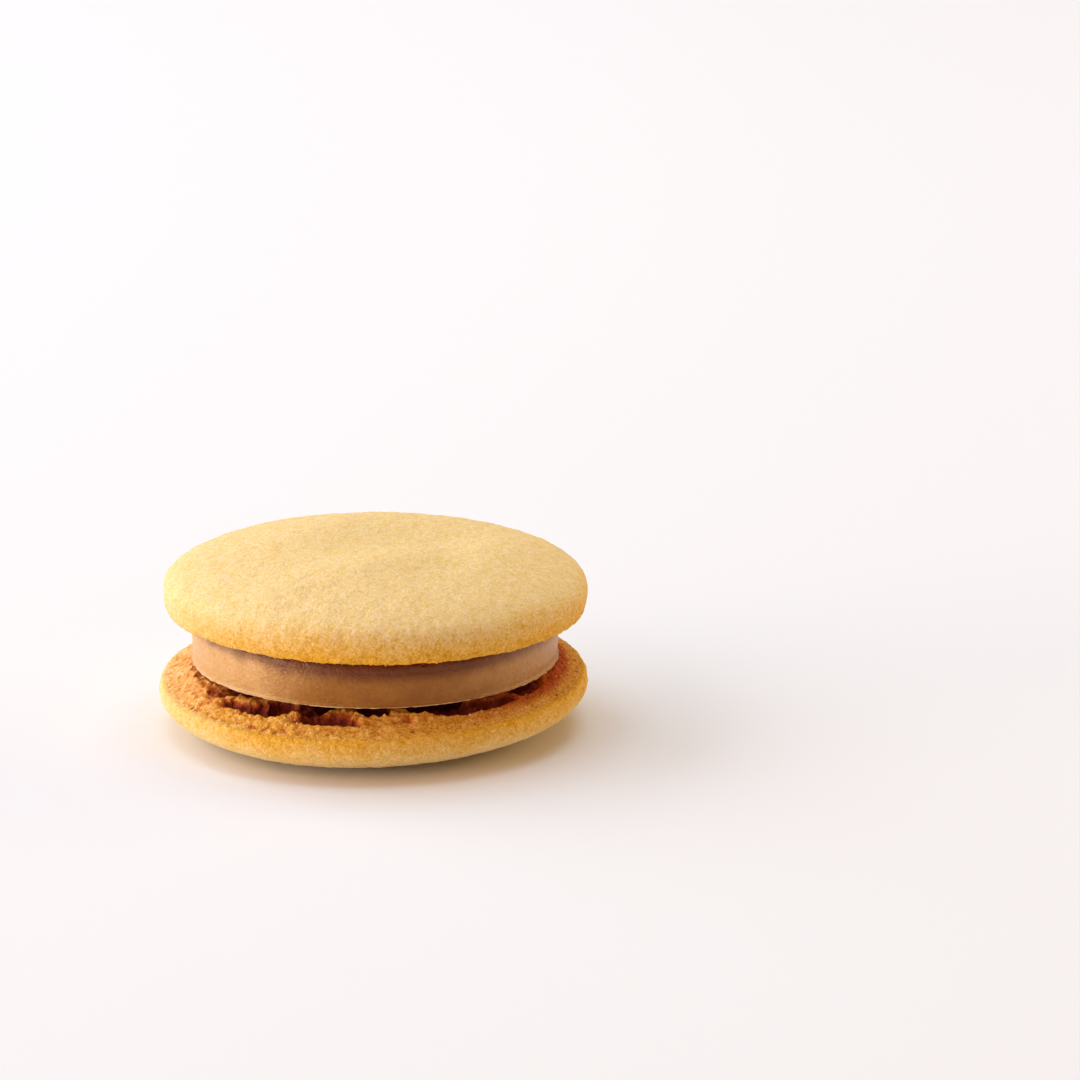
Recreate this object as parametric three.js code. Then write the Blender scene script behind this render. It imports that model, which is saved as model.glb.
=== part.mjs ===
// A brown sugar sandwich cookie: two thin domed biscuits, flat baked faces inwards, with a disc of
// brown sugar cream between them. The lower biscuit lies dome down, so the cookie stands on a small
// flat spot of its crust. Millimetres, +Z up, origin at the centre of that spot; -Y is the side that
// is open the widest, where the lower biscuit hangs clear of the cream.
import * as THREE from "three";
import { ImprovedNoise } from "three/addons/math/ImprovedNoise.js";

// Facets. A ring is one step along a profile, from the middle of a face to its rim.
const SEGMENTS = 84;
const CRUST_RINGS = 13;
const EDGE_RINGS = 4;
const CREAM_CORNER_RINGS = 3;

// The biscuits. A biscuit is drawn with its baked face at z = 0 and its crust bulging to +Z.
const UPPER_BISCUIT = {
  radius: 22.6,
  thickness: 7.1,
  shoulder: 2.4, // height of the widest ring above the baked face
  undercut: 0.4, // how far the baked face's edge lies inside the widest ring
  domePower: 2.2, // 2 is a ball's dome, more is flatter on top and rounder at the shoulder
  outline: [
    { lobes: 2, turn: 30, swing: 0.08 },
    { lobes: 3, turn: 200, swing: 0.07 },
    { lobes: 5, turn: 110, swing: 0.05 },
  ],
  crumb: { hiddenRings: 2, shownRings: 5, edge: 0.9, rise: 0, roughness: 0.6, grain: 3.2, seed: 11 },
};
const LOWER_BISCUIT = {
  radius: 23,
  thickness: 5.85,
  shoulder: 1.3,
  undercut: 0.7,
  domePower: 3,
  outline: [
    { lobes: 2, turn: 75, swing: 0.1 },
    { lobes: 3, turn: 20, swing: 0.09 },
    { lobes: 4, turn: 240, swing: 0.07 },
  ],
  crumb: { hiddenRings: 3, shownRings: 9, edge: 0.88, rise: 1.3, roughness: 1.7, grain: 2.6, seed: 5 },
};
const HIDDEN_SHARE = 0.5; // the part of a baked face's radius that lies well under the cream
const SPOT_DEPTH = 0.14; // how much of the lower crust is pressed flat where the cookie stands

// Soft oval swells of the upper crust, and hollows where the height is below 0: middle, direction in
// degrees from +X, half sizes and height.
const SWELLS = [
  { x: -6.5, y: 6, direction: 42, length: 8.5, width: 4.5, height: 0.45 },
  { x: 2.9, y: 1.3, direction: 22, length: 8.5, width: 4, height: -0.4 },
  { x: 7.1, y: -4.9, direction: 86, length: 8.5, width: 3.3, height: -0.23 },
  { x: 14.3, y: 0.7, direction: 72, length: 8, width: 3.6, height: 0.35 },
  { x: -1.2, y: -8.8, direction: 31, length: 8.5, width: 3.4, height: 0.43 },
  { x: -10.8, y: -14.1, direction: 49, length: 4, width: 2.7, height: 0.2 },
];

// The cream disc, cast flat side down: a sharp lower edge, a round upper one and a side that bellies.
const CREAM = { radius: 19.6, thickness: 5.2, belly: 0.15, cornerRadius: 1.1 };

// How they lie on each other.
const CREAM_ABOVE_LOWER = 1.5; // from the lower biscuit's baked rim up to the cream
const UPPER_ABOVE_CREAM = 0.25; // from the cream up to the middle of the upper biscuit's baked face
const CRUMB_CLEARANCE = 0.15; // left between the lower biscuit's highest crumb and the cream
const CREAM_OFFSET = { x: 0.32, y: 1.05 };
const UPPER_OFFSET = { x: 0.47, y: 1.05 };
const LOWER_LEAN = { pitch: 1.5, roll: -0.95 }; // degrees: the front and the left hang lower
const UPPER_LEAN = { pitch: 0, roll: 0.4 };

const noise = new ImprovedNoise();
const degrees = THREE.MathUtils.degToRad;
const smoothstep = THREE.MathUtils.smoothstep;

// Wavers the outline of a baked disc: a factor near 1 that depends on the direction only.
function outlineFactor(x, y, outline, radius) {
  const direction = Math.atan2(y, x);
  let reach = 0;
  for (const { lobes, turn, swing } of outline) {
    reach += swing * Math.cos(lobes * direction + degrees(turn));
  }
  return 1 + reach / radius;
}

// The crust's height over the baked face at a share of the radius, a superellipse from the shoulder.
function crustHeight(share, { thickness, shoulder, domePower }) {
  return shoulder + (thickness - shoulder) * Math.sqrt(1 - share ** domePower);
}

// How far the upper crust stands out at a place by its swells and hollows.
function swellHeight(x, y) {
  let height = 0;
  for (const swell of SWELLS) {
    const turn = degrees(swell.direction);
    const along = (x - swell.x) * Math.cos(turn) + (y - swell.y) * Math.sin(turn);
    const across = (y - swell.y) * Math.cos(turn) - (x - swell.x) * Math.sin(turn);
    height += swell.height * Math.exp(-((along / swell.length) ** 2) - (across / swell.width) ** 2);
  }
  return height;
}

// The baked face's rings as shares of its radius, close together only where they show.
function bakedShares({ hiddenRings, shownRings }) {
  const shares = [];
  for (let i = 0; i < hiddenRings; i++) shares.push((HIDDEN_SHARE * i) / hiddenRings);
  for (let i = 0; i <= shownRings; i++) {
    shares.push(HIDDEN_SHARE + ((1 - HIDDEN_SHARE) * i) / shownRings);
  }
  return shares;
}

// The baked face's relief: level by the rim, then torn open crumb that stands up under the cream.
function crumbRelief(x, y, radius, crumb) {
  const share = Math.hypot(x, y) / radius;
  const inside = 1 - smoothstep(share, crumb.edge - 0.14, crumb.edge);
  const torn = noise.noise(x / crumb.grain, y / crumb.grain, crumb.seed);
  const fine = noise.noise((2.3 * x) / crumb.grain, (2.3 * y) / crumb.grain, crumb.seed + 7);
  return inside * (crumb.rise + crumb.roughness * (torn + 0.4 * fine));
}

// A biscuit as a lathe that is then swollen and torn. ceiling gives the height that the crumb may
// reach at a place, and swell how far the crust stands out there.
function biscuitGeometry(shape, ceiling, swell) {
  const { radius, shoulder, undercut, crumb } = shape;
  const bakedRadius = radius - undercut;
  const profile = bakedShares(crumb).map((share) => new THREE.Vector2(bakedRadius * share, 0));
  const bakedEdge = profile.length - 1; // the profile's row at the baked face's sharp edge
  for (let i = 1; i <= EDGE_RINGS; i++) {
    const turn = (i / EDGE_RINGS) * (Math.PI / 2);
    profile.push(
      new THREE.Vector2(
        bakedRadius + undercut * Math.sin(turn),
        shoulder * (1 - Math.cos(turn)),
      ),
    );
  }
  for (let i = CRUST_RINGS - 1; i >= 0; i--) {
    const share = Math.sin((i / CRUST_RINGS) * (Math.PI / 2));
    profile.push(new THREE.Vector2(radius * share, crustHeight(share, shape)));
  }

  const geometry = new THREE.LatheGeometry(profile, SEGMENTS);
  geometry.rotateX(Math.PI / 2);
  const place = geometry.getAttribute("position");
  for (let i = 0; i < place.count; i++) {
    const row = i % profile.length;
    const x = place.getX(i);
    const y = place.getY(i);
    let z = place.getZ(i);
    if (row < bakedEdge) {
      z = -Math.min(ceiling(x, y), crumbRelief(x, y, radius, crumb));
    } else if (row > bakedEdge) {
      z += smoothstep(z, 0, shape.thickness) * swell(x, y);
    }
    const factor = outlineFactor(x, y, shape.outline, radius);
    place.setXYZ(i, x * factor, y * factor, z);
  }
  return geometry;
}

// The cream disc, flat on z = 0.
function creamGeometry({ radius, thickness, belly, cornerRadius }) {
  const profile = [new THREE.Vector2(0, 0), new THREE.Vector2(radius * 0.5, 0)];
  const sideTop = thickness - cornerRadius;
  profile.push(new THREE.Vector2(radius - belly, 0));
  profile.push(new THREE.Vector2(radius, sideTop * 0.35));
  for (let i = 0; i <= CREAM_CORNER_RINGS; i++) {
    const turn = (i / CREAM_CORNER_RINGS) * (Math.PI / 2);
    profile.push(
      new THREE.Vector2(
        radius - cornerRadius * (1 - Math.cos(turn)),
        sideTop + cornerRadius * Math.sin(turn),
      ),
    );
  }
  profile.push(new THREE.Vector2(radius * 0.5, thickness), new THREE.Vector2(0, thickness));
  return new THREE.LatheGeometry(profile, SEGMENTS).rotateX(Math.PI / 2);
}

// Presses everything under z = 0 flat, as the crust is where it stands on the table.
function pressFlat(geometry) {
  const place = geometry.getAttribute("position");
  for (let i = 0; i < place.count; i++) place.setZ(i, Math.max(0, place.getZ(i)));
}

function solid(name, geometry, colour, roughness) {
  geometry.computeVertexNormals();
  const material = new THREE.MeshStandardMaterial({ color: colour, roughness, metalness: 0 });
  const mesh = new THREE.Mesh(geometry, material);
  mesh.name = name;
  return mesh;
}

// Heights of the baked rims and of the cream above the table.
const lowerRim = LOWER_BISCUIT.thickness - SPOT_DEPTH;
const creamBottom = lowerRim + CREAM_ABOVE_LOWER;
const upperRim = creamBottom + CREAM.thickness + UPPER_ABOVE_CREAM;

// The lower biscuit, dome down. Its torn crumb stops under the cream, whose underside leans the other
// way in the biscuit's own frame.
const pitch = degrees(LOWER_LEAN.pitch);
const roll = degrees(LOWER_LEAN.roll);
const underCream = (x, y) =>
  CREAM_ABOVE_LOWER - CRUMB_CLEARANCE + x * Math.tan(roll) + y * Math.tan(pitch);
const lowerGeometry = biscuitGeometry(LOWER_BISCUIT, underCream, () => 0);
lowerGeometry.rotateX(Math.PI + pitch).rotateY(roll).translate(0, 0, lowerRim);
pressFlat(lowerGeometry);

const upperGeometry = biscuitGeometry(UPPER_BISCUIT, () => 0, swellHeight);
const upper = solid("upper_biscuit", upperGeometry, 0xe6c07a, 0.85);
upper.position.set(UPPER_OFFSET.x, UPPER_OFFSET.y, upperRim);
upper.rotation.set(degrees(UPPER_LEAN.pitch), degrees(UPPER_LEAN.roll), 0);

const cream = solid("cream_filling", creamGeometry(CREAM), 0xa8713c, 0.5);
cream.position.set(CREAM_OFFSET.x, CREAM_OFFSET.y, creamBottom);

const cookie = new THREE.Group();
cookie.name = "brown_sugar_cookie";
cookie.add(solid("lower_biscuit", lowerGeometry, 0xdda551, 0.85), cream, upper);

export default cookie;
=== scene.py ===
# %% [markdown]
# # A brown sugar sandwich cookie
# Two thin domed biscuits lie with their baked faces inwards round a disc of brown sugar cream. This
# lesson dresses the three plain solids of the frame: each is replaced by a finer piece of the same
# form, with the torn crumb, sandy grain and smooth cream that the real cookie has.
#
# The first cell opens the frame. Nothing made here may grow out of it.

# %% Open the frame
import math

import bpy
from mathutils import Euler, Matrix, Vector


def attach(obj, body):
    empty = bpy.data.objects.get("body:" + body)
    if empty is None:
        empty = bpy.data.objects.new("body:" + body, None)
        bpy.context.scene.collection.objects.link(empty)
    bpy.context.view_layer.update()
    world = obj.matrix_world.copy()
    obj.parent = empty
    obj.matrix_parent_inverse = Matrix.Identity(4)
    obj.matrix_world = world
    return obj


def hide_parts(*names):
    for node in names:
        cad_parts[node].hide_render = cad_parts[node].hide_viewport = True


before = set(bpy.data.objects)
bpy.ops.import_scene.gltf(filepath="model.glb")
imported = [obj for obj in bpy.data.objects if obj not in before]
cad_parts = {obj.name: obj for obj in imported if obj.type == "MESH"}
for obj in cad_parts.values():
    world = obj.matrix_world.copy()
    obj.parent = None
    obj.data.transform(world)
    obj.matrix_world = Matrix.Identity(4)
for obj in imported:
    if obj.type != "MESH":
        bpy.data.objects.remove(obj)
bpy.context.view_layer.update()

# %% [markdown]
# ## Sizes
# A baker thinks of a cookie in millimetres, and so does this script: the trees below work in
# millimetres and shrink their result to metres at their very end. The biscuits are drawn with the
# baked face at height 0 and the crust bulging up, so the lower one is turned over when it is
# placed.

# %% Sizes of the pieces, in millimetres
MM = 0.001

# The dome's power is 2 for a ball's dome, more for one that is flatter on top and rounder outside.
UPPER = {"radius": 22.5, "thickness": 7.02, "shoulder": 2.4, "undercut": 0.4, "power": 2.2}
LOWER = {"radius": 22.9, "thickness": 5.85, "shoulder": 1.3, "undercut": 0.7, "power": 3.0}
SPOT_DEPTH = 0.14  # how much of the lower crust is pressed flat on the table

CREAM = {"radius": 19.6, "thickness": 5.2, "corner": 1.7, "belly": 0.15}
CREAM_ABOVE_LOWER = 1.5
UPPER_ABOVE_CREAM = 0.25

UPPER_PLACE = {"x": 0.47, "y": 1.05, "pitch": 0.0, "roll": 0.4}
LOWER_PLACE = {"x": 0.0, "y": 0.0, "pitch": 1.5, "roll": -0.95}
CREAM_PLACE = {"x": 0.32, "y": 1.05}

lower_rim = LOWER["thickness"] - SPOT_DEPTH
cream_bottom = lower_rim + CREAM_ABOVE_LOWER
upper_rim = cream_bottom + CREAM["thickness"] + UPPER_ABOVE_CREAM
print(f"baked rims at {lower_rim:.2f} and {upper_rim:.2f}, cream from {cream_bottom:.2f} mm")

# %% [markdown]
# ## Writing node trees as formulas
# A shape that follows a rule is easiest to read as its formula, but a node tree is drawn, not
# written. `Wire` stands for one socket, and adding or multiplying wires places the Math nodes for
# it. `Maker` owns a tree: it makes named inputs, places nodes and links whatever it is given. The
# same helper serves Geometry Nodes and shaders, since both use the same Math and texture nodes.

# %% A socket that can be added and multiplied
class Wire:
    """One socket of a tree. Sums and products of wires place Math nodes."""

    def __init__(self, maker, socket):
        self.maker = maker
        self.socket = socket

    def __add__(self, other):
        return self.maker.math("ADD", self, other)

    def __radd__(self, other):
        return self.maker.math("ADD", other, self)

    def __sub__(self, other):
        return self.maker.math("SUBTRACT", self, other)

    def __rsub__(self, other):
        return self.maker.math("SUBTRACT", other, self)

    def __mul__(self, other):
        return self.maker.math("MULTIPLY", self, other)

    def __truediv__(self, other):
        return self.maker.math("DIVIDE", self, other)


# %% The maker of a tree
class Maker:
    """Builds one node tree from named inputs, nodes and formulas."""

    def __init__(self, tree):
        self.tree = tree
        self.identifiers = {}

    def declare(self, name, kind, way="INPUT", value=None):
        socket = self.tree.interface.new_socket(name, in_out=way, socket_type="NodeSocket" + kind)
        if value is not None:
            socket.default_value = value
        self.identifiers[name] = socket.identifier

    def feed(self, socket, value):
        if isinstance(value, Wire):
            self.tree.links.new(value.socket, socket)
        elif value is not None:
            socket.default_value = value

    def fill(self, node, inputs):
        for name, value in inputs.items():
            self.feed(node.inputs[name], value)

    def node(self, kind, inputs=None, **settings):
        made = self.tree.nodes.new(kind)
        for name, value in settings.items():
            setattr(made, name, value)
        self.fill(made, inputs or {})
        return made

    def out(self, node, name=0):
        return Wire(self, node.outputs[name])

    def inputs(self):
        """The tree's own inputs, as a function from name to wire."""
        node = self.tree.nodes.new("NodeGroupInput")
        return lambda name: Wire(self, node.outputs[name])

    def finish(self, **results):
        node = self.tree.nodes.new("NodeGroupOutput")
        for name, value in results.items():
            self.feed(node.inputs[name.replace("_", " ")], value)

    def math(self, operation, *values):
        made = self.tree.nodes.new("ShaderNodeMath")
        made.operation = operation
        for socket, value in zip(made.inputs, values):
            self.feed(socket, value)
        return Wire(self, made.outputs[0])

    def vector(self, operation, *values, scale=None):
        made = self.tree.nodes.new("ShaderNodeVectorMath")
        made.operation = operation
        for socket, value in zip(made.inputs, values):
            self.feed(socket, value)
        if scale is not None:
            self.feed(made.inputs["Scale"], scale)
        return Wire(self, made.outputs["Vector"])

    def combine(self, x=0.0, y=0.0, z=0.0):
        return self.out(self.node("ShaderNodeCombineXYZ", {"X": x, "Y": y, "Z": z}))

    def separate(self, vector):
        node = self.node("ShaderNodeSeparateXYZ", {0: vector})
        return [Wire(self, socket) for socket in node.outputs]

    def step(self, value, low, high, to_low=0.0, to_high=1.0):
        """A smooth step: to_low below low, to_high above high."""
        node = self.node("ShaderNodeMapRange", interpolation_type="SMOOTHSTEP")
        for index, given in enumerate((value, low, high, to_low, to_high)):
            self.feed(node.inputs[index], given)
        return self.out(node)

    def mix(self, share, first, second):
        return first + (second - first) * share

    def noise(self, place, size, detail=2.0, roughness=0.5, seed=0.0):
        """Soft noise from -1 to 1 with features of about that size."""
        node = self.node(
            "ShaderNodeTexNoise",
            {
                "Vector": place,
                "W": seed,
                "Scale": 1.0 / size,
                "Detail": detail,
                "Roughness": roughness,
            },
            noise_dimensions="4D",
        )
        return self.out(node) * 2.0 - 1.0

    def cells(self, place, size, seed=0.0):
        """Distance to the nearest scattered point, in steps of size, and its lot from 0 to 1."""
        node = self.node(
            "ShaderNodeTexVoronoi",
            {"Vector": place, "W": seed, "Scale": 1.0 / size},
            voronoi_dimensions="4D",
        )
        lot = self.separate(self.out(node, "Color"))[0]
        return self.out(node, "Distance"), lot


# %% [markdown]
# Points are moved with Set Position. Fields are worked out afresh wherever they are used, so what
# has to be remembered from an earlier shape, such as how far a point lies from the lip, is stored
# on the points under a name. Materials read some of these names later.

# %% Helpers for points
def move(maker, mesh, place=None, offset=None):
    inputs = {"Geometry": mesh, "Position": place, "Offset": offset}
    given = {name: value for name, value in inputs.items() if value is not None}
    return maker.out(maker.node("GeometryNodeSetPosition", given))


def remember(maker, mesh, name, value):
    node = maker.node("GeometryNodeStoreNamedAttribute", {"Geometry": mesh, "Name": name})
    maker.feed(next(s for s in node.inputs if s.name == "Value" and s.enabled), value)
    return maker.out(node)


def recall(maker, name):
    return maker.out(maker.node("GeometryNodeInputNamedAttribute", {"Name": name}))


def position(maker):
    return maker.out(maker.node("GeometryNodeInputPosition"))


def finish_tree(maker, mesh, material, smooth=True):
    """Ends a tree: millimetres become metres, instances become faces, and a material is set."""
    shrink = {"Geometry": mesh, "Scale": (MM, MM, MM)}
    mesh = maker.out(maker.node("GeometryNodeTransform", shrink))
    shading = {"Geometry": mesh, "Shade Smooth": smooth}
    mesh = maker.out(maker.node("GeometryNodeSetShadeSmooth", shading))
    mesh = maker.out(maker.node("GeometryNodeRealizeInstances", {"Geometry": mesh}))
    finish = {"Geometry": mesh, "Material": material}
    maker.finish(Geometry=maker.out(maker.node("GeometryNodeSetMaterial", finish)))
    return maker


# %% [markdown]
# ## Profiles
# All three pieces are round, so each is a profile turned round an axis. The profile is a curve that
# Python draws and that the tree samples along its length: a dome that ends in a shoulder and a
# sharp lip for the biscuits, and a cast disc's outline for the cream.

# %% A curve through given points
def draw_profile(name, points):
    curve = bpy.data.curves.new(name, "CURVE")
    curve.dimensions = "3D"
    spline = curve.splines.new("POLY")
    spline.points.add(len(points) - 1)
    for point, (x, z) in zip(spline.points, points):
        point.co = (x, 0, z, 1)
    made = bpy.data.objects.new(name, curve)
    bpy.context.scene.collection.objects.link(made)
    return made


def sample_profile(maker, profile, share):
    """Reach from the axis and height at a share of the profile's length."""
    info = maker.node("GeometryNodeObjectInfo", {"Object": profile})
    inputs = {"Curves": maker.out(info, "Geometry"), "Factor": share}
    sample = maker.node("GeometryNodeSampleCurve", inputs, mode="FACTOR")
    reach, _, height = maker.separate(maker.out(sample, "Position"))
    return reach, height


# %% The crust's profile
def crust_profile(name, size, steps=48):
    """From the top of the dome over the shoulder and in to the lip, in millimetres."""
    radius, rise = size["radius"], size["thickness"] - size["shoulder"]
    points = []
    for i in range(3 * steps + 1):
        share = math.sin(0.5 * math.pi * i / (3 * steps))
        height = size["shoulder"] + rise * math.sqrt(1 - share ** size["power"])
        points.append((radius * share, height))
    for i in range(1, steps + 1):
        turn = 0.5 * math.pi * i / steps
        inwards = size["undercut"] * (1 - math.cos(turn))
        points.append((radius - inwards, size["shoulder"] * (1 - math.sin(turn))))
    return draw_profile(name, points)


# %% [markdown]
# ## The biscuit's tree
# A batter drop spreads into a disc and rises into a low dome. A lathe would crowd its points at the
# middle, so two flat grids are rounded into discs instead. Ring by ring, the first takes its place
# from the crust's profile, the second lies in the baked face, and they are welded along the sharp
# lip.

# %% A grid rounded into a disc
def round_disc(maker, rings):
    """A flat disc of squares: its mesh, each point's share of the radius, and its direction."""
    side = rings * 2 + 1
    inputs = {"Size X": 2.0, "Size Y": 2.0, "Vertices X": side, "Vertices Y": side}
    grid = maker.node("GeometryNodeMeshGrid", inputs)
    x, y, _ = maker.separate(position(maker))
    wide, deep = maker.math("ABSOLUTE", x), maker.math("ABSOLUTE", y)
    share = maker.math("MAXIMUM", wide, deep)
    sideways = (y / x) * (math.pi / 4) + maker.math("LESS_THAN", x, 0.0) * math.pi
    endways = math.pi / 2 - (x / y) * (math.pi / 4) + maker.math("LESS_THAN", y, 0.0) * math.pi
    direction = maker.mix(maker.math("GREATER_THAN", wide, deep), endways, sideways)
    return maker.out(grid), share, direction


# %% [markdown]
# The crust of the upper biscuit rose unevenly and sank in places as it cooled. Each soft swell or
# hollow is an oval bell on the dome.

# %% Swells and hollows of the upper crust
SWELLS = [
    {"x": -6.5, "y": 6.0, "direction": 42, "length": 8.5, "width": 4.5, "height": 0.45},
    {"x": 2.9, "y": 1.3, "direction": 22, "length": 8.5, "width": 4.0, "height": -0.4},
    {"x": 7.1, "y": -4.9, "direction": 86, "length": 8.5, "width": 3.3, "height": -0.23},
    {"x": 14.3, "y": 0.7, "direction": 72, "length": 8.0, "width": 3.6, "height": 0.35},
    {"x": -1.2, "y": -8.8, "direction": 31, "length": 8.5, "width": 3.4, "height": 0.43},
    {"x": -10.8, "y": -14.1, "direction": 49, "length": 4.0, "width": 2.7, "height": 0.2},
]


def swell_height(maker, x, y):
    total = 0.0
    for swell in SWELLS:
        turn = math.radians(swell["direction"])
        dx, dy = x - swell["x"], y - swell["y"]
        along = (dx * math.cos(turn) + dy * math.sin(turn)) / swell["length"]
        across = (dy * math.cos(turn) - dx * math.sin(turn)) / swell["width"]
        bell = maker.math("EXPONENT", (along * along + across * across) * -1.0)
        total = bell * swell["height"] + total
    return total


# %% [markdown]
# ## Relief of the crust
# The crust is soft and sandy. Low lumps and a fine grain cover all of it, a few pinholes are burst
# bubbles, and towards the rim faint wrinkles run down the slope, where the batter slumped.

# %% Relief of the crust
WRINKLE_TURNS = 22.0  # how finely the wrinkles divide the way round the rim


def crust_relief(maker, place, inward, given):
    seed = given("Seed")
    x, y, z = maker.separate(place)
    radius = maker.math("SQRT", x * x + y * y)
    lumps = maker.noise(place, 1.9, 2.0, 0.5, seed + 1.3)
    grain = maker.noise(place, 0.5, 2.0, 0.6, seed + 2.7)
    downhill = maker.combine(x / radius * WRINKLE_TURNS, y / radius * WRINKLE_TURNS, z * 0.3)
    wrinkle = maker.noise(downhill, 0.9, 2.0, 0.5, seed + 3.9) * maker.step(inward, -9.0, -2.5)
    reach, lot = maker.cells(place, 1.9, seed + 3.1)
    pinhole = maker.step(reach, 0.05, 0.14, 1.0, 0.0) * maker.math("GREATER_THAN", lot, 0.78)
    soft = lumps * given("Lump height") + wrinkle * given("Wrinkle height")
    return soft + grain * given("Grain height") - pinhole * 0.15 - 0.05


# %% [markdown]
# ## Relief of the baked face
# The baked face stuck to its tray and tore. From the thin lip a sandy ring climbs inwards, with
# pores that are most open on one side. Behind it, on the side that gapes, steam has burst bubbles
# in the crumb, and the cream lies on the ridges between them. The relief is mostly one height over
# the flat face, so it can be read as a recipe. Cells make the bubbles, because each has its own
# middle and a shared wall.

# %% Relief of the baked face
TEAR_TURNS = 21.0  # how finely strands and pores divide the way round the ring
BUBBLE_SIZE = 3.1  # millimetres between the middles of burst bubbles


def towards(maker, x, y, side):
    """From -1 to 1: how much a point's direction from the middle is that side's."""
    sideways, forwards, _ = maker.separate(side)
    return (x * sideways + y * forwards) / maker.math("SQRT", x * x + y * y)


def crumb_relief(maker, place, inward, given):
    """How far each point of the baked face moves, and how deep it lies in a pore or bubble."""
    seed = given("Seed")
    x, y, _ = maker.separate(place)
    radius = maker.math("SQRT", x * x + y * y)
    torn = maker.step(towards(maker, x, y, given("Torn side")), -0.1, 0.95)
    closed = maker.step(towards(maker, x, y, given("Open side")), 0.25, 0.8, 1.0, 0.0)

    # The sandy ring, with strands and pores along the tear.
    tear = maker.combine(x / radius * TEAR_TURNS, y / radius * TEAR_TURNS, radius * 0.8)
    strands = maker.noise(tear, 0.7, 2.0, 0.6, seed + 4.0) * (torn * 0.3 + 0.04)
    sand = maker.noise(place, 0.32, 2.0, 0.6, seed + 4.5) * 0.12
    row = maker.step(inward, 0.2, 0.4) * maker.step(inward, 0.7, 1.1, 1.0, 0.0)
    chance = maker.math("MAXIMUM", torn * 0.55, row * 0.45) + 0.06
    reach, lot = maker.cells(tear, 0.8, seed + 5.0)
    pore = maker.step(reach, 0.12, 0.4, 1.0, 0.0)
    pore = pore * maker.step(lot - chance, -0.06, 0.06, 1.0, 0.0)
    pore = pore * maker.step(inward, 0.12, 0.35)
    drift = maker.noise(place, 2.6, 2.0, 0.5, seed + 6.0)
    climb = maker.step(inward + drift * 0.4, 0.2, given("Ring width")) * given("Ring rise")
    ring = climb + strands + sand - pore * (torn * 0.5 + 0.16)

    # Behind the ring: burst bubbles, each a bowl in its own cell, with ridges left between them.
    bent = maker.combine(x + drift * 1.3 + seed * 7.0, y + strands * 2.0 + drift, 0.0)
    bubbles = {"Vector": bent, "Scale": 1.0 / BUBBLE_SIZE}
    bubbles = maker.node("ShaderNodeTexVoronoi", bubbles, voronoi_dimensions="2D")
    wall = maker.step(maker.out(bubbles, "Distance"), 0.3, 0.72)
    lump = maker.math("MAXIMUM", wall, closed)
    torn_crumb = maker.noise(place, 0.9, 2.0, 0.5, seed + 8.0)
    crag = maker.mix(lump, given("Void floor"), given("Lump top"))
    crag = crag + torn_crumb * (lump * 0.35 + 0.2)
    cliff = given("Ring width") - 0.5
    inside = maker.step(inward + drift * 0.9, cliff, cliff + 1.2)

    height = maker.mix(inside, ring, crag)
    ceiling = given("Ceiling") + x * given("Ceiling slope X") + y * given("Ceiling slope Y")
    # The material paints deep points darker: partly the crumb's own colour, partly painted shade.
    deep = pore * 0.6 + 0.25 - (strands + sand) * 4.0
    pit = maker.mix(inside, deep, 1.9 - lump * 1.6 - torn_crumb * 0.6)

    # Steep walls crumble sideways too.
    spot = maker.combine(x, y, height * 1.5)
    loose = {"Vector": spot, "W": seed, "Scale": 1.1, "Detail": 1.0}
    tumble = maker.out(maker.node("ShaderNodeTexNoise", loose, noise_dimensions="4D"), "Color")
    tumble = maker.vector("SUBTRACT", tumble, (0.5, 0.5, 0.5))
    over, along, up = maker.separate(maker.vector("SCALE", tumble, scale=inside))
    height = maker.math("MINIMUM", height + up, ceiling)
    return maker.combine(over, along, height * -1.0), pit


# %% [markdown]
# ## The whole biscuit
# The tree does the steps in a baker's order: spread, rise, tear, crumble, lie down. Its inputs hold
# every size, so that one tree bakes both biscuits.

# %% Sizes that the biscuit's tree asks for
BISCUIT_SIZES = [
    "Lip radius",
    "Hidden share",
    "Swell strength",
    "Lump height",
    "Grain height",
    "Wrinkle height",
    "Lip crumble",
    "Ring width",
    "Ring rise",
    "Lump top",
    "Void floor",
    "Ceiling",
    "Ceiling slope X",
    "Ceiling slope Y",
    "Seed",
]
BISCUIT_DIRECTIONS = [
    "Lobes",
    "Lobe turns",
    "Lobe swings",
    "Torn side",
    "Open side",
    "Place",
    "Lean",
]


# %% The biscuit's tree
CRUST_SPAN = 28.0  # about how many millimetres the crust runs from the lip to the dome's top
HIDDEN_RINGS = 0.3  # the share of a disc's rings that is spent on the hidden middle
LIP_FADE = 2.5  # how fast the lip's crumbling dies out, for each millimetre


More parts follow.
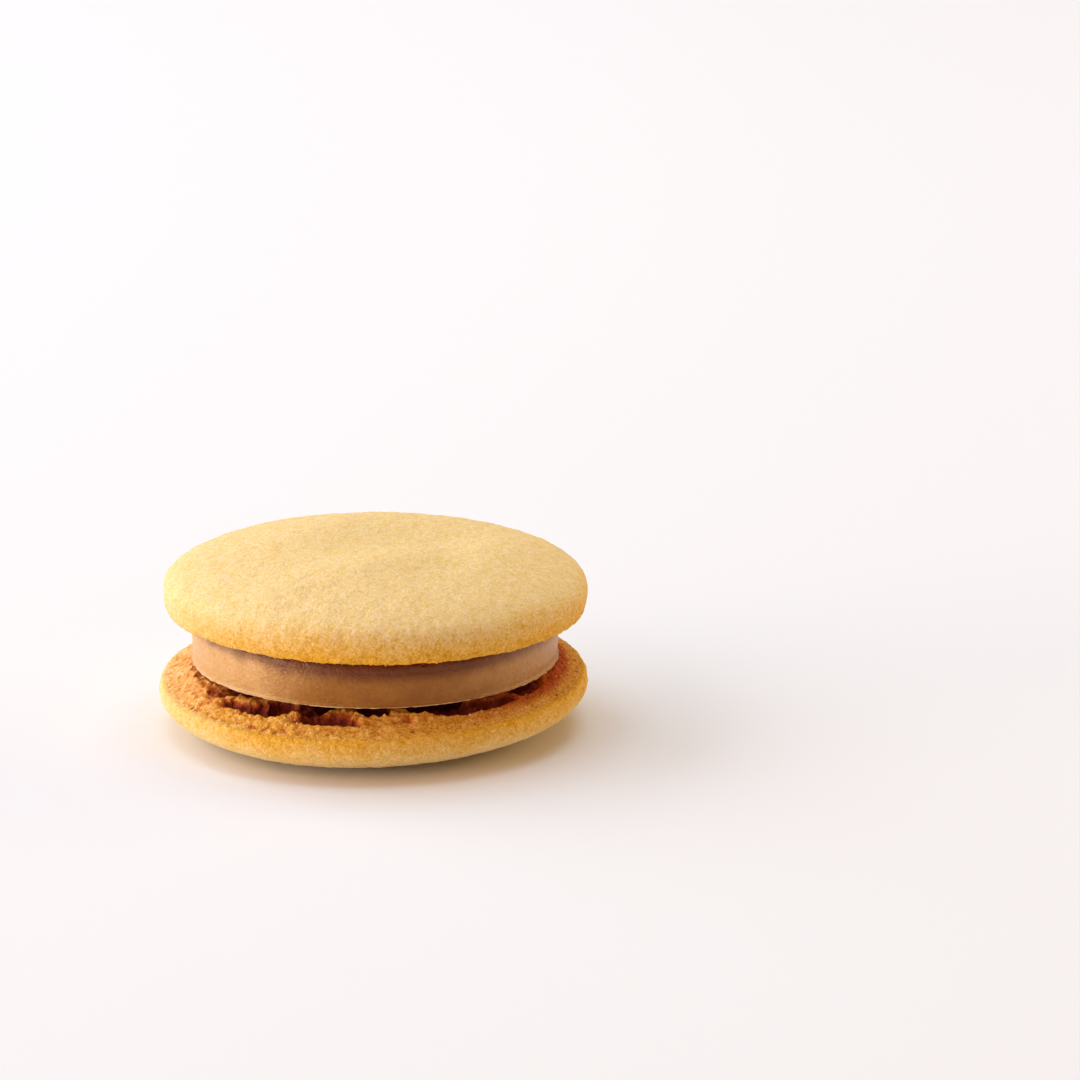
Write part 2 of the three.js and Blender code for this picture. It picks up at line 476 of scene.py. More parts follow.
def biscuit_tree():
    maker = Maker(bpy.data.node_groups.new("baked_biscuit", "GeometryNodeTree"))
    maker.declare("Geometry", "Geometry")
    maker.declare("Profile", "Object")
    maker.declare("Rings", "Int", value=108)
    for name in BISCUIT_SIZES:
        maker.declare(name, "Float")
    for name in BISCUIT_DIRECTIONS:
        maker.declare(name, "Vector")
    maker.declare("Finish", "Material")
    maker.declare("Geometry", "Geometry", "OUTPUT")
    given = maker.inputs()

    # The crust: every ring of the disc goes to its share of the profile's length.
    mesh, share, direction = round_disc(maker, given("Rings"))
    reach, height = sample_profile(maker, given("Profile"), share)
    east, north = maker.math("COSINE", direction), maker.math("SINE", direction)
    crust = remember(maker, mesh, "inward", (1.0 - share) * -CRUST_SPAN)
    crust = remember(maker, crust, "crumb", 0.0)
    crust = move(maker, crust, maker.combine(reach * east, reach * north, height))

    # The baked face: rings are close together only where they show.
    mesh, share, direction = round_disc(maker, given("Rings"))
    hidden = given("Hidden share")
    inner = share * (hidden / HIDDEN_RINGS)
    outer = hidden + (share - HIDDEN_RINGS) * ((1.0 - hidden) / (1.0 - HIDDEN_RINGS))
    warped = maker.mix(maker.math("GREATER_THAN", share, HIDDEN_RINGS), inner, outer)
    reach = warped * given("Lip radius")
    east, north = maker.math("COSINE", direction), maker.math("SINE", direction)
    inward = given("Lip radius") - reach
    baked = remember(maker, mesh, "inward", inward)
    baked = remember(maker, baked, "crumb", maker.step(inward, 0.0, 0.4))
    baked = move(maker, baked, maker.combine(reach * east, reach * north, 0.0))
    baked = maker.out(maker.node("GeometryNodeFlipFaces", {"Mesh": baked}))

    join = maker.node("GeometryNodeJoinGeometry")
    maker.feed(join.inputs[0], baked)
    maker.feed(join.inputs[0], crust)
    weld = {"Geometry": maker.out(join), "Distance": 0.01}
    mesh = maker.out(maker.node("GeometryNodeMergeByDistance", weld))

    # Broad form: a wavering outline, swells and hollows in the crust.
    x, y, z = maker.separate(position(maker))
    direction = maker.math("ARCTAN2", y, x)
    lobes, turns, swings = (maker.separate(given(name)) for name in BISCUIT_DIRECTIONS[:3])
    waver = 0.0
    for count, turn, swing in zip(lobes, turns, swings):
        waver = maker.math("COSINE", direction * count + turn) * swing + waver
    factor = waver / given("Lip radius") + 1.0
    swell = swell_height(maker, x, y) * given("Swell strength") * maker.step(z, 0.0, 7.0)
    mesh = move(maker, mesh, maker.combine(x * factor, y * factor, z + swell))

    # Relief: along the normal on the crust, straight out of the baked face.
    place = position(maker)
    normal = maker.out(maker.node("GeometryNodeInputNormal"))
    crumb, inward = recall(maker, "crumb"), recall(maker, "inward")
    torn, pit = crumb_relief(maker, place, inward, given)
    near_lip = maker.math("EXPONENT", maker.math("ABSOLUTE", inward) * -LIP_FADE)
    crumble = maker.noise(place, 0.55, 3.0, 0.7, given("Seed") + 11.0) - 0.15
    rough = crust_relief(maker, place, inward, given) * (1.0 - crumb)
    rough = rough + near_lip * crumble * given("Lip crumble")
    mesh = remember(maker, mesh, "pit", pit * crumb)
    mesh = remember(maker, mesh, "lip", near_lip)
    offset = maker.vector("SCALE", normal, scale=rough)
    offset = maker.vector("ADD", offset, maker.vector("SCALE", torn, scale=crumb))
    mesh = move(maker, mesh, offset=offset)

    # Place the biscuit and press it flat where it stands.
    turn = {"Geometry": mesh, "Translation": given("Place"), "Rotation": given("Lean")}
    mesh = maker.out(maker.node("GeometryNodeTransform", turn))
    x, y, z = maker.separate(position(maker))
    mesh = move(maker, mesh, maker.combine(x, y, maker.math("MAXIMUM", z, 0.0)))

    # Split the squares along their short diagonals, so that no two triangles meet flat at the lip.
    split = maker.node("GeometryNodeTriangulate", {"Mesh": mesh}, quad_method="SHORTEST_DIAGONAL")
    return finish_tree(maker, maker.out(split), given("Finish"))


# %% [markdown]
# ## From a tree to a plain mesh
# A modifier runs the tree. Its inputs are set by identifier before it is first evaluated, the
# result is read back as a plain mesh, and the modifier's object is thrown away.

# %% Run a tree
def grow(name, maker, values):
    """A plain mesh object at the origin, made by a tree with those values for its inputs."""
    seedling = bpy.data.objects.new(name + "_seedling", bpy.data.meshes.new(name + "_seedling"))
    bpy.context.scene.collection.objects.link(seedling)
    modifier = seedling.modifiers.new("Grow", "NODES")
    modifier.node_group = maker.tree
    for key, value in values.items():
        modifier[maker.identifiers[key]] = value
    bpy.context.view_layer.update()
    evaluated = seedling.evaluated_get(bpy.context.evaluated_depsgraph_get())
    mesh = bpy.data.meshes.new_from_object(evaluated)
    mesh.name = name
    bpy.data.objects.remove(seedling)
    made = bpy.data.objects.new(name, mesh)
    bpy.context.scene.collection.objects.link(made)
    mesh.calc_loop_triangles()
    size = [round(1000 * x, 2) for x in made.dimensions]
    print(f"{name}: {len(mesh.loop_triangles)} triangles, {size} mm")
    return made


# %% [markdown]
# ## Colours
# Colours are given as they look on a screen and turned into the linear numbers that shaders want.
# The other helpers are what every material here begins with.

# %% Colours and the start of a material
def srgb(red, green, blue):
    """A colour as seen on a screen, 0 to 255, in linear numbers."""
    linear = []
    for value in (red, green, blue):
        value /= 255
        linear.append(value / 12.92 if value <= 0.04045 else ((value + 0.055) / 1.055) ** 2.4)
    return (*linear, 1.0)


def mix_colour(maker, share, first, second):
    node = maker.node("ShaderNodeMix", data_type="RGBA", clamp_factor=True)
    for index, value in ((0, share), (6, first), (7, second)):
        maker.feed(node.inputs[index], value)
    return maker.out(node, 2)


def start_material(name):
    """A new material, the maker of its tree, and its surface shader."""
    material = bpy.data.materials.new(name)
    material.use_nodes = True
    return material, Maker(material.node_tree), material.node_tree.nodes["Principled BSDF"]


def shaded_place(maker):
    """The shaded point in millimetres."""
    spot = maker.node("ShaderNodeTexCoord")
    return maker.vector("SCALE", maker.out(spot, "Object"), scale=1 / MM)


def stored(maker, name):
    """A value that a tree stored on the points."""
    return maker.out(maker.node("ShaderNodeAttribute", attribute_name=name), "Fac")


# %% [markdown]
# ## Grain, shared by everything baked
# Baked crumb is a mass of tiny grains. Light that sinks between them comes out deeper in colour, so
# the grain changes blue the most and red the least. Paint alone would look flat and bump alone
# would look like plastic, so one shader group gives both the tinted colour and the height for the
# bump.

# %% Shared grain
def baked_grain_group():
    maker = Maker(bpy.data.node_groups.new("baked_grain", "ShaderNodeTree"))
    for name in ("Grain size", "Contrast"):
        maker.declare(name, "Float")
    maker.declare("Colour", "Color")
    maker.declare("Colour", "Color", "OUTPUT")
    maker.declare("Height", "Float", "OUTPUT")
    given = maker.inputs()
    finer = maker.math("DIVIDE", 1.0, given("Grain size"))
    place = maker.vector("SCALE", shaded_place(maker), scale=finer)
    fine = maker.noise(place, 0.7, 1.0, 0.6, 1.0)
    coarse = maker.noise(place, 3.2, 1.0, 0.7, 2.0)
    reach, lot = maker.cells(place, 1.1, 3.0)
    sand = 0.35 - reach + lot * 0.2
    reach, lot = maker.cells(place, 2.2, 4.0)
    speck = maker.step(reach, 0.1, 0.25, 1.0, 0.0) * maker.math("GREATER_THAN", lot, 0.86)
    tone = fine * 0.6 + sand * 0.8 + coarse * 0.4 + speck * 0.6
    parts = maker.separate(given("Colour"))
    tints = [
        maker.math("MAXIMUM", tone * given("Contrast") * strength + 1.0, 0.05) * part
        for strength, part in zip((0.7, 1.1, 3.4), parts)
    ]
    maker.finish(Colour=maker.combine(*tints), Height=tone)
    return maker.tree


BAKED_GRAIN = baked_grain_group()


def add_grain(maker, surface, colour, size, contrast):
    """Gives the surface its grained colour, and returns the grain's height."""
    inputs = {"Grain size": size, "Contrast": contrast, "Colour": colour}
    grain = maker.node("ShaderNodeGroup", inputs, node_tree=BAKED_GRAIN)
    maker.feed(surface.inputs["Base Color"], maker.out(grain, "Colour"))
    return maker.out(grain, "Height")


def add_bump(maker, surface, height, depth):
    inputs = {"Height": height, "Strength": 0.7, "Distance": depth}
    maker.feed(surface.inputs["Normal"], maker.out(maker.node("ShaderNodeBump", inputs)))


# %% [markdown]
# ## The biscuit's material
# The crust is pale gold on top and browns towards the rim; painted shade browns it more at the
# front right, the side away from the lamps. The torn face has a painted lit colour, peach, at the
# back left and its shaded copy, sandy gold, elsewhere. Down in its pits it is deep orange, partly
# its own colour and partly painted shade, and under the cream at the right it is painted in deeper
# shade. The burst bubbles hold maroon painted shade, and it is pale at the thin lip. The attributes
# that the tree stored say which is which.

# %% Biscuit material
CRUMB_RADIUS = (1.0, 0.45, 0.15)  # how far red, green and blue light spread inside baked crumb


def biscuit_material(name, pale, gold, lit_peach, sand, pore, shaded_orange, void_shade):
    material, maker, surface = start_material(name)
    place = shaded_place(maker)
    inward, crumb, pit, lip = (stored(maker, key) for key in ("inward", "crumb", "pit", "lip"))
    patches = maker.noise(place, 4.5, 3.0, 0.55, 5.0)
    x, y, _ = maker.separate(place)
    radius = maker.math("SQRT", x * x + y * y)

    # The crust: browner by the rim, and painted shade browns it more at the front right.
    facing = (x * 0.6 - y * 0.8) / radius
    # Painted shade: the side away from the lamps, at the front right, is browned more.
    painted_side_shade = maker.step(facing, -0.7, 0.6, 0.2, 1.0)
    browning_and_side_shade = maker.step(inward + patches * 2.2, -5.4, 0.6) * painted_side_shade
    crust = mix_colour(maker, browning_and_side_shade, pale, gold)

    # The torn face: a painted lit colour at the back left and a painted shaded one elsewhere.
    high = mix_colour(maker, maker.step(facing, -0.7, 0.3), lit_peach, sand)
    deep = mix_colour(maker, maker.step(facing, -0.7, 0.3), pore, shaded_orange)
    # Deeper down in the pits: partly the crumb's own colour and partly painted shade.
    torn = mix_colour(maker, maker.step(pit, 0.0, 0.9), high, deep)
    # Painted shade of the cream over the right of the torn ring.
    shaded = maker.step(x / radius, 0.3, 0.9) * maker.step(inward, 0.6, 1.8)
    torn = mix_colour(maker, shaded, torn, shaded_orange)
    # Maroon painted shade in the burst bubbles under the cream.
    torn = mix_colour(maker, maker.step(pit, 0.55, 1.15), torn, void_shade)
    torn = mix_colour(maker, maker.step(lip, 0.25, 0.8) * 0.6, torn, pale)
    colour = mix_colour(maker, crumb, crust, torn)

    contrast = 0.3 + browning_and_side_shade * 0.4 + crumb * 0.2
    height = add_grain(maker, surface, colour, 0.23, contrast)
    add_bump(maker, surface, height, 0.00006)
    baked = {
        "Roughness": 0.8,
        "Specular IOR Level": 0.25,
        "Subsurface Weight": 0.15,
        "Subsurface Radius": CRUMB_RADIUS,
        "Subsurface Scale": 0.001,
    }
    maker.fill(surface, baked)
    return material


# Painted light and shade: peach is a lit colour, ember and void are painted shade, pore partly.
BISCUIT_COLOURS = {
    "pale": srgb(243, 214, 154),
    "gold": srgb(235, 174, 46),
    "lit_peach": srgb(250, 202, 140),
    "sand": srgb(242, 186, 84),
    "pore": srgb(226, 138, 54),
    "shaded_orange": srgb(192, 92, 28),
    "void_shade": srgb(134, 50, 32),
}
UPPER_FINISH = biscuit_material("golden_crust_upper", **BISCUIT_COLOURS)
LOWER_FINISH = biscuit_material("golden_crust_lower", **BISCUIT_COLOURS)

# %% [markdown]
# ## Bake the two biscuits
# The upper one is thick and lies dome up, with only a narrow ring of its baked face beyond the
# cream. The lower one is thin, leans a little to the front and left, and shows its torn face all
# round.

# %% Bake
BISCUIT = biscuit_tree()


def turned(degrees):
    return tuple(math.radians(angle) for angle in degrees)


UPPER_PROFILE = crust_profile("upper_profile", UPPER)
LOWER_PROFILE = crust_profile("lower_profile", LOWER)
upper = grow(
    "upper_biscuit_baked",
    BISCUIT,
    {
        "Profile": UPPER_PROFILE,
        "Lip radius": UPPER["radius"] - UPPER["undercut"],
        "Hidden share": 0.76,
        "Lobes": (2, 3, 5),
        "Lobe turns": turned((30, 200, 110)),
        "Lobe swings": (0.08, 0.07, 0.05),
        "Swell strength": 1.0,
        "Lump height": 0.16,
        "Grain height": 0.1,
        "Wrinkle height": 0.07,
        "Lip crumble": 0.3,
        "Ring width": 2.2,
        "Ring rise": -0.1,
        "Lump top": 0.0,
        "Void floor": -0.6,
        "Ceiling": 0.0,
        "Torn side": (-1.0, -0.3, 0.0),
        "Open side": (0.0, -1.0, 0.0),
        "Seed": 3.0,
        "Place": (UPPER_PLACE["x"], UPPER_PLACE["y"], upper_rim),
        "Lean": turned((UPPER_PLACE["pitch"], UPPER_PLACE["roll"], 0)),
        "Finish": UPPER_FINISH,
    },
)
lower = grow(
    "lower_biscuit_baked",
    BISCUIT,
    {
        "Profile": LOWER_PROFILE,
        "Lip radius": LOWER["radius"] - LOWER["undercut"],
        "Hidden share": 0.66,
        "Lobes": (2, 3, 4),
        "Lobe turns": turned((75, 20, 240)),
        "Lobe swings": (0.1, 0.09, 0.07),
        "Swell strength": 0.0,
        "Lump height": 0.12,
        "Grain height": 0.11,
        "Wrinkle height": 0.05,
        "Lip crumble": 0.3,
        "Ring width": 2.3,
        "Ring rise": 0.85,
        "Lump top": 1.35,
        "Void floor": -0.2,
        "Ceiling": CREAM_ABOVE_LOWER - 0.03,
        "Ceiling slope X": math.tan(math.radians(LOWER_PLACE["roll"])),
        "Ceiling slope Y": math.tan(math.radians(LOWER_PLACE["pitch"])),
        "Torn side": (-0.95, 0.3, 0.0),
        "Open side": (0.05, 1.0, 0.0),
        "Seed": 8.0,
        "Place": (LOWER_PLACE["x"], LOWER_PLACE["y"], lower_rim),
        "Lean": turned((180 + LOWER_PLACE["pitch"], LOWER_PLACE["roll"], 0)),
        "Finish": LOWER_FINISH,
    },
)
for profile in (UPPER_PROFILE, LOWER_PROFILE):
    bpy.data.objects.remove(profile)

# %% [markdown]
# ## Crumbs
# Broken grains cling to the sharp lips and lie about on the torn ring. Points are scattered where
# the two biscuits are near a lip or torn, and each gets a tiny ball of twenty faces. The balls are
# turned and scaled by lot, and dented once they are real faces, so no two are alike.


# %% The crumbs' tree
def by_lot(maker, kind, low, high, seed):
    """A random value for each point: FLOAT or FLOAT_VECTOR."""
    node = maker.node("FunctionNodeRandomValue", data_type=kind)
    least, most, _, which = [socket for socket in node.inputs if socket.enabled]
    for socket, value in ((least, low), (most, high), (which, seed)):
        maker.feed(socket, value)
    return Wire(maker, next(socket for socket in node.outputs if socket.enabled))


def crumbs_tree():
    maker = Maker(bpy.data.node_groups.new("loose_crumbs", "GeometryNodeTree"))
    maker.declare("Geometry", "Geometry")
    for name in ("First biscuit", "Second biscuit"):
        maker.declare(name, "Object")
    for name in ("Lip density", "Ring density", "Least size", "Most size"):
        maker.declare(name, "Float")
    maker.declare("Seed", "Int")
    maker.declare("Finish", "Material")
    maker.declare("Geometry", "Geometry", "OUTPUT")
    given = maker.inputs()

    join = maker.node("GeometryNodeJoinGeometry")
    for name in ("First biscuit", "Second biscuit"):
        info = maker.node("GeometryNodeObjectInfo", {"Object": given(name)})
        maker.feed(join.inputs[0], maker.out(info, "Geometry"))
    grow_up = {"Geometry": maker.out(join), "Scale": (1 / MM, 1 / MM, 1 / MM)}
    mesh = maker.out(maker.node("GeometryNodeTransform", grow_up))
    lip, crumb, inward = (recall(maker, name) for name in ("lip", "crumb", "inward"))
    ring = crumb * maker.step(inward, 1.5, 3.0, 1.0, 0.0)
    density = maker.step(lip, 0.35, 0.7) * given("Lip density") + ring * given("Ring density")
    scatter = maker.node(
        "GeometryNodeDistributePointsOnFaces",
        {"Mesh": mesh, "Density": density, "Seed": given("Seed")},
    )
    points = remember(maker, maker.out(scatter), "tone", by_lot(maker, "FLOAT", 0.0, 1.0, 1))
    lot = maker.math("POWER", by_lot(maker, "FLOAT", 0.0, 1.0, 2), 3.0)
    size = maker.mix(lot, given("Least size"), given("Most size"))
    stretch = by_lot(maker, "FLOAT_VECTOR", (0.7, 0.7, 0.5), (1.3, 1.0, 0.9), 3)
    ball = maker.node("GeometryNodeMeshIcoSphere", {"Radius": 1.0, "Subdivisions": 1})
    inputs = {
        "Points": points,
        "Instance": maker.out(ball),
        "Rotation": by_lot(maker, "FLOAT_VECTOR", (0, 0, 0), (6.3, 6.3, 6.3), 4),
        "Scale": maker.vector("SCALE", stretch, scale=size),
    }
    mesh = maker.out(maker.node("GeometryNodeInstanceOnPoints", inputs))
    mesh = maker.out(maker.node("GeometryNodeRealizeInstances", {"Geometry": mesh}))
    place = position(maker)
    dents = [maker.noise(place, 0.2, 0.0, 0.5, float(seed)) * 0.03 for seed in range(3)]
    mesh = move(maker, mesh, offset=maker.combine(*dents))
    return finish_tree(maker, mesh, given("Finish"), smooth=False)


# %% Crumb material
def crumb_material():
    material, maker, surface = start_material("golden_crumbs")
    tone = stored(maker, "tone")
    colour = mix_colour(maker, tone, srgb(228, 172, 92), srgb(250, 222, 160))
    add_grain(maker, surface, colour, 0.2, 0.2)
    crumbly = {
        "Roughness": 0.7,
        "Specular IOR Level": 0.3,
        "Subsurface Weight": 0.2,
        "Subsurface Radius": CRUMB_RADIUS,
        "Subsurface Scale": 0.0005,
    }
    maker.fill(surface, crumbly)
    return material


# %% Scatter the crumbs
crumbs = grow(
    "loose_crumbs",
    crumbs_tree(),
    {
        "First biscuit": upper,
        "Second biscuit": lower,
        "Lip density": 0.9,
        "Ring density": 0.8,
        "Least size": 0.06,
        "Most size": 0.2,
        "Seed": 4,
        "Finish": crumb_material(),
    },
)

# %% [markdown]
# ## The cream
# The cream was cast as a disc, so its lower edge is sharp with a thin ragged flash, its side
# bellies a little and its upper edge is round, where the upper biscuit pressed on it. It is one
# profile turned round an axis, with its rows close together on the side, the only part that shows.

# %% The cream's profile
def cream_profile(name, size, top, steps=16):
    """From the middle of the flat underside over the side to the middle of the top."""
    radius, corner = size["radius"], size["corner"]
    side = top - corner
    points = [(0, 0), (radius * 0.8, 0), (radius - 0.12, 0), (radius + 0.02, 0.03)]
    points += [(radius + 0.02, 0.1), (radius - 0.1, 0.2)]
    for i in range(1, steps + 1):
        share = i / steps
        bulge = size["belly"] * math.sin(math.pi * share) ** 0.8
        points.append((radius - 0.1 - size["belly"] * 0.6 + bulge, 0.2 + (side - 0.2) * share))
    rim = points[-1][0]
    for i in range(1, steps + 1):
        turn = 0.5 * math.pi * i / steps
        points.append((rim - corner * (1 - math.cos(turn)), side + corner * math.sin(turn)))
    points += [(radius * 0.6, top), (0, top)]
    return draw_profile(name, points)


# %% The cream's tree
# A row lies at a share of the sheet and takes its place from a share of the profile's length.
ROWS_UNDER, ROWS_BELOW_TOP = 0.1, 0.9  # between these shares of the rows lies the side
SIDE_START, SIDE_END = 0.42, 0.61  # and between these shares of the profile's length


def cream_tree():
    maker = Maker(bpy.data.node_groups.new("cast_cream", "GeometryNodeTree"))
    maker.declare("Geometry", "Geometry")
    maker.declare("Profile", "Object")
    maker.declare("Steps around", "Int", value=760)
    maker.declare("Steps along", "Int", value=120)
    for name in ("Unevenness", "Dent depth", "Flash", "Top slope", "Seed"):
        maker.declare(name, "Float")
    maker.declare("Place", "Vector")
    maker.declare("Finish", "Material")
    maker.declare("Geometry", "Geometry", "OUTPUT")
    given = maker.inputs()

    # A sheet is rolled up, with most of its rows spent on the side.
    inputs = {
        "Size X": 1.0,
        "Size Y": 1.0,
        "Vertices X": given("Steps around") + 1,
        "Vertices Y": given("Steps along"),
    }
    grid = maker.out(maker.node("GeometryNodeMeshGrid", inputs))
    x, y, _ = maker.separate(position(maker))
    along = y + 0.5
    under = along * (SIDE_START / ROWS_UNDER)
    side_rate = (SIDE_END - SIDE_START) / (ROWS_BELOW_TOP - ROWS_UNDER)
    side = SIDE_START + (along - ROWS_UNDER) * side_rate
    top_rate = (1.0 - SIDE_END) / (1.0 - ROWS_BELOW_TOP)
    top = SIDE_END + (along - ROWS_BELOW_TOP) * top_rate
    outer = maker.mix(maker.math("GREATER_THAN", along, ROWS_BELOW_TOP), side, top)
    warped = maker.mix(maker.math("GREATER_THAN", along, ROWS_UNDER), under, outer)
    reach, height = sample_profile(maker, given("Profile"), warped)
    turn = x * (2 * math.pi)
    east, north = maker.math("COSINE", turn), maker.math("SINE", turn)
    mesh = move(maker, grid, maker.combine(reach * east, reach * north, height))
    weld = {"Geometry": mesh, "Distance": 0.004}
    mesh = maker.out(maker.node("GeometryNodeMergeByDistance", weld))

    # The top follows the upper biscuit's lean, and the side is a little uneven and dented.
    place = position(maker)
    x, y, z = maker.separate(place)
    normal = maker.out(maker.node("GeometryNodeInputNormal"))
    seed = given("Seed")
    broad = maker.noise(place, 6.0, 1.0, 0.5, seed) * 0.06
    middle = maker.noise(place, 1.4, 2.0, 0.5, seed + 1.0) * given("Unevenness")
    cell, lot = maker.cells(place, 1.3, seed + 2.0)
    dent = maker.step(cell, 0.06, 0.2, 1.0, 0.0) * maker.math("GREATER_THAN", lot, 0.8)
    edge = maker.step(z, 0.05, 0.28, 1.0, 0.0)
    ragged = maker.noise(place, 0.8, 3.0, 0.6, seed + 3.0) * edge * given("Flash")
    out = broad + middle + ragged - dent * given("Dent depth") - 0.06
    mesh = remember(maker, mesh, "edge", edge)
    mesh = remember(maker, mesh, "rise", z)
    slope = maker.combine(0.0, 0.0, z * x * given("Top slope"))
    offset = maker.vector("ADD", maker.vector("SCALE", normal, scale=out), slope)
    mesh = move(maker, mesh, offset=offset)
    turn = {"Geometry": mesh, "Translation": given("Place")}
    mesh = maker.out(maker.node("GeometryNodeTransform", turn))
    return finish_tree(maker, mesh, given("Finish"))


# %% [markdown]
# ## The cream's material
# Brown sugar cream is fat and sugar: light goes a millimetre or two into it and comes back warmer,
# and its skin has a satin gloss, broken by tiny bumps. Its far left and right are painted paler, as
# a painted sheen, and up in the crease under the upper biscuit it is painted darker, as painted
# shade. The flash at its lower edge is pale because it is thin.

# %% Cream material
def cream_material():
    material, maker, surface = start_material("brown_sugar_cream")
    place = shaded_place(maker)
    edge, rise = stored(maker, "edge"), stored(maker, "rise")
    cloud = maker.noise(place, 3.0, 4.0, 0.6, 3.0)
    colour = mix_colour(maker, maker.step(cloud, -0.5, 0.5), srgb(148, 88, 14), srgb(168, 106, 22))
    # Painted sheen: the far left and right of the cream are painted paler.
    x, y, _ = maker.separate(place)
    aside = x / maker.math("SQRT", x * x + y * y)
    left = maker.step(aside + cloud * 0.3, -0.8, -0.25, 1.0, 0.0)
    right = maker.step(aside + cloud * 0.3, 0.3, 0.9, 0.0, 0.45)
    painted_sheen = maker.math("MAXIMUM", left, right)
    colour = mix_colour(maker, painted_sheen, colour, srgb(216, 170, 108))
    # Painted shade in the crease under the upper biscuit.
    painted_crease_shade = maker.step(rise + cloud * 0.5 - painted_sheen * 0.8, 2.3, 3.8)
    colour = mix_colour(maker, painted_crease_shade, colour, srgb(104, 32, 8))
    reach, lot = maker.cells(place, 0.6, 5.0)
    speck = maker.step(reach, 0.08, 0.2, 1.0, 0.0) * maker.math("GREATER_THAN", lot, 0.88)
    colour = mix_colour(maker, speck * 0.6, colour, srgb(236, 200, 140))
    colour = mix_colour(maker, maker.step(edge, 0.3, 0.9), colour, srgb(240, 205, 150))
    height = add_grain(maker, surface, colour, 0.3, 0.26)
    ripple = maker.noise(place, 0.45, 3.0, 0.75, 4.0)
    add_bump(maker, surface, ripple + height * 0.3, 0.0001)
    satin = {
        "Roughness": 0.36,
        "Specular IOR Level": 1.0,
        "Specular Tint": srgb(255, 222, 170),
        "Subsurface Weight": 0.3,
        "Subsurface Radius": (1.8, 0.9, 0.35),
        "Subsurface Scale": 0.001,
    }
    maker.fill(surface, satin)
    return material


# %% Cast the cream
CREAM_FINISH = cream_material()
CREAM_PROFILE = cream_profile("cream_profile", CREAM, CREAM["thickness"] + UPPER_ABOVE_CREAM)
cream = grow(
    "cream_disc",
    cream_tree(),
    {
        "Profile": CREAM_PROFILE,
        "Unevenness": 0.06,
        "Dent depth": 0.12,
        "Flash": 0.16,
        "Top slope": -math.tan(math.radians(UPPER_PLACE["roll"])) / CREAM["thickness"],
        "Seed": 2.0,
        "Place": (CREAM_PLACE["x"], CREAM_PLACE["y"], cream_bottom),
        "Finish": CREAM_FINISH,
    },
)
bpy.data.objects.remove(CREAM_PROFILE)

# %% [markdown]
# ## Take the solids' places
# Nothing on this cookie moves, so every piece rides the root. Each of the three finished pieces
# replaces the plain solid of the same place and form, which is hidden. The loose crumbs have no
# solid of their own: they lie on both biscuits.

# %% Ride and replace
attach(crumbs, "root")
for piece, node, slot in (
    (upper, "upper_biscuit", "upper_crumb"),
    (lower, "lower_biscuit", "lower_crumb"),
    (cream, "cream_filling", "cream"),
):
    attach(piece, "root")
    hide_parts(node)

# %% [markdown]
# ## Floor
# The cookie lies on a plain matt table that runs out of sight, as pale as paper. A single large
# square is enough, because it only has to catch the shadow.

# %% Floor
floor_mesh = bpy.data.meshes.new("floor")
half = 3.0  # metres
corners = [(-half, -half, 0), (half, -half, 0), (half, half, 0), (-half, half, 0)]
floor_mesh.from_pydata(corners, [], [(0, 1, 2, 3)])
floor = bpy.data.objects.new("floor", floor_mesh)
bpy.context.scene.collection.objects.link(floor)
floor_material, floor_maker, floor_surface = start_material("pale_floor")
floor_maker.fill(floor_surface, {"Base Color": (0.9, 0.92, 0.945, 1), "Roughness": 0.9})
floor_mesh.materials.append(floor_material)

# %% [markdown]
# ## Light
# Food is lit from behind and from one side, which shows its grain and leaves the front in soft
# shade. The room itself is dim and warm, as light that has passed between baked things is, but the
# camera sees it pale. The light path tells camera rays from all others, so one world does both.

# %% Room
WARM_ROOM = (1.0, 0.63, 0.46, 1)
PALE_ROOM = (0.94, 0.94, 0.94, 1)
ROOM_STRENGTH = 0.375
world = bpy.data.worlds.new("studio")
bpy.context.scene.world = world
world.use_nodes = True
room = Maker(world.node_tree)
background = world.node_tree.nodes["Background"]
room.fill(background, {"Color": WARM_ROOM, "Strength": ROOM_STRENGTH})
seen = room.node("ShaderNodeBackground", {"Color": PALE_ROOM, "Strength": 1.0})
choice = room.node("ShaderNodeMixShader", {"Fac": room.out(room.node("ShaderNodeLightPath"))})
room.feed(choice.inputs[1], room.out(background))
room.feed(choice.inputs[2], room.out(seen))
room.feed(world.node_tree.nodes["World Output"].inputs["Surface"], room.out(choice))


# %% [markdown]
# A large softbox stands at the left and back and a panel hangs over the table, both as cool as
# daylight. A low bright card at the left puts a satin gloss on the cream, a warm lamp above it
# opens the left side, and another at the right opens the shadow. Brightness is given for each
# square metre, so a lamp can be resized without growing dim.

# %% Lamps
LAMP_DISTANCE = 1.2  # metres


def area_light(name, azimuth, elevation, width, height, brightness, colour):
    """A flat lamp that looks at the cookie. Azimuth 0 is the right, 90 the back."""
    lamp = bpy.data.lights.new(name, "AREA")
    lamp.shape = "RECTANGLE"
    lamp.size, lamp.size_y = width, height
    lamp.energy = brightness * math.pi * width * height
    lamp.color = colour
    made = bpy.data.objects.new(name, lamp)
    bpy.context.scene.collection.objects.link(made)
    a, e = math.radians(azimuth), math.radians(elevation)
    direction = Vector((math.cos(a) * math.cos(e), math.sin(a) * math.cos(e), math.sin(e)))
    made.location = direction * LAMP_DISTANCE
    made.rotation_euler = direction.to_track_quat("Z", "Y").to_euler()
    made.visible_camera = False


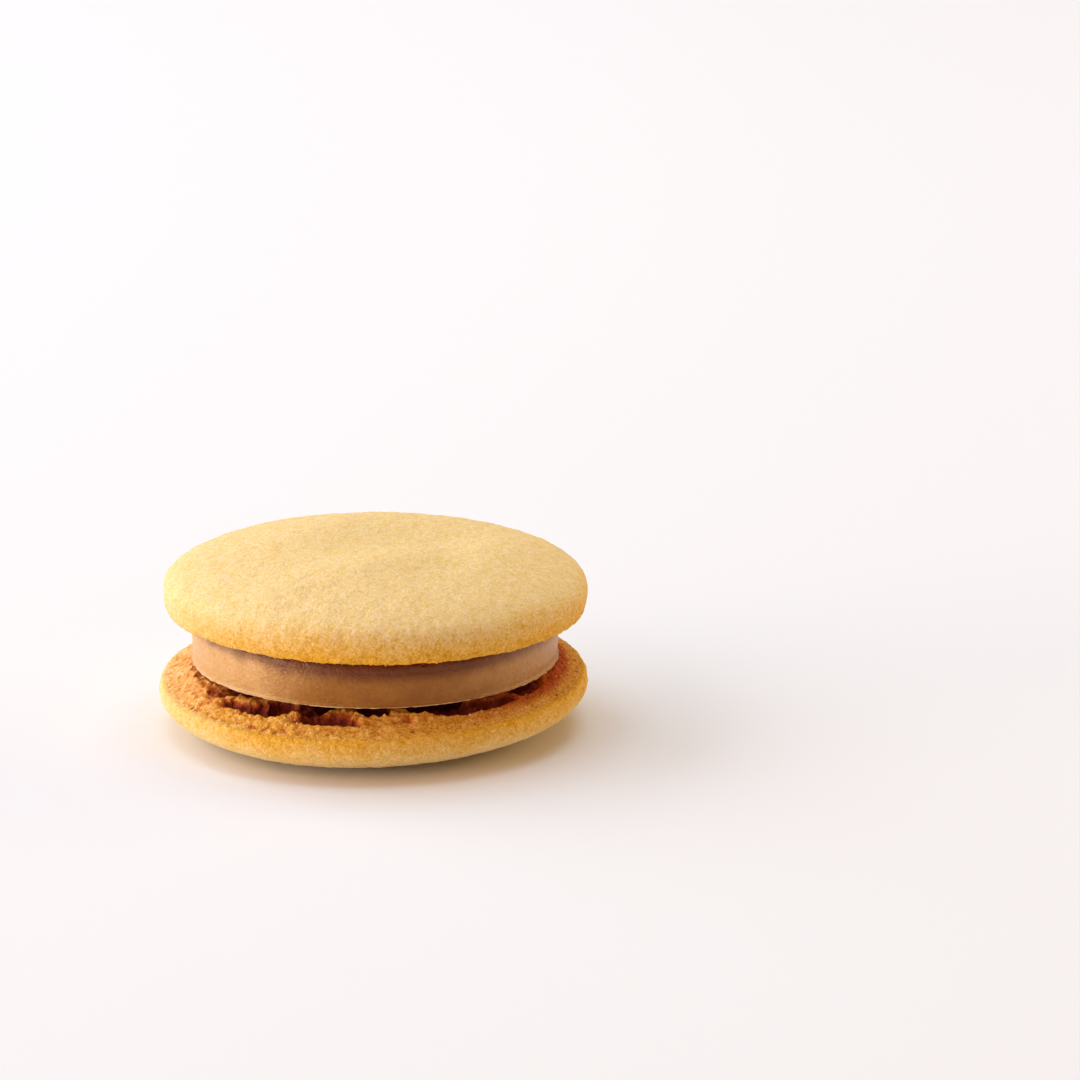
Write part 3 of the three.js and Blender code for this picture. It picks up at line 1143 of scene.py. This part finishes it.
area_light("softbox", 155, 27, 1.5, 1.05, 2.3, (0.82, 0.88, 1.0))
area_light("panel", 85, 76, 1.2, 1.2, 1.95, (0.72, 0.91, 1.0))
area_light("card", 196, 6, 0.6, 0.22, 12.0, (1.0, 0.87, 0.8))
area_light("side_fill", 215, 26, 0.8, 0.85, 1.4, (1.0, 0.78, 0.72))
area_light("warm_fill", 20, 14, 0.8, 0.6, 2.5, (1.0, 0.7, 0.3))

# %% [markdown]
# ## Camera
# A long lens looks down at the cookie from well over half a metre, which keeps its ellipses flat.
# The cookie stands left of and below the middle of the picture. A shifted lens would do that, but a
# real camera is simply turned a little, so the turn and the dip are worked out from where the
# middle of the lower biscuit's rim has to appear.

# %% Camera
PIXELS = 1080
FOCAL_PIXELS = 5600.0
SENSOR_WIDTH = 36.0
DISTANCE = 0.5977
ELEVATION = math.radians(17.2)
ANCHOR_PIXEL = (372.5, 670.0)
anchor = Vector((0, 0, lower_rim * MM))


def aim_camera():
    """A level camera that sees the anchor at its pixel, from that distance and elevation."""
    right = ANCHOR_PIXEL[0] - PIXELS / 2
    down = ANCHOR_PIXEL[1] - PIXELS / 2
    length = math.sqrt(right**2 + down**2 + FOCAL_PIXELS**2)
    right, down, ahead = right / length, down / length, FOCAL_PIXELS / length
    dip = math.asin(math.sin(ELEVATION) / math.hypot(down, ahead)) - math.atan2(down, ahead)
    yaw = math.atan2(right, -down * math.sin(dip) + ahead * math.cos(dip))
    camera = bpy.data.cameras.new("camera")
    camera.sensor_width = SENSOR_WIDTH
    camera.lens = FOCAL_PIXELS / PIXELS * SENSOR_WIDTH
    camera.clip_start = 0.01
    camera.clip_end = 20.0
    made = bpy.data.objects.new("camera", camera)
    bpy.context.scene.collection.objects.link(made)
    sight = Vector((0, math.cos(ELEVATION), -math.sin(ELEVATION)))
    made.location = anchor - sight * DISTANCE
    made.rotation_euler = Euler((math.pi / 2 - dip, 0, yaw))
    return made


bpy.context.scene.camera = aim_camera()
bpy.context.scene.view_settings.view_transform = "Standard"
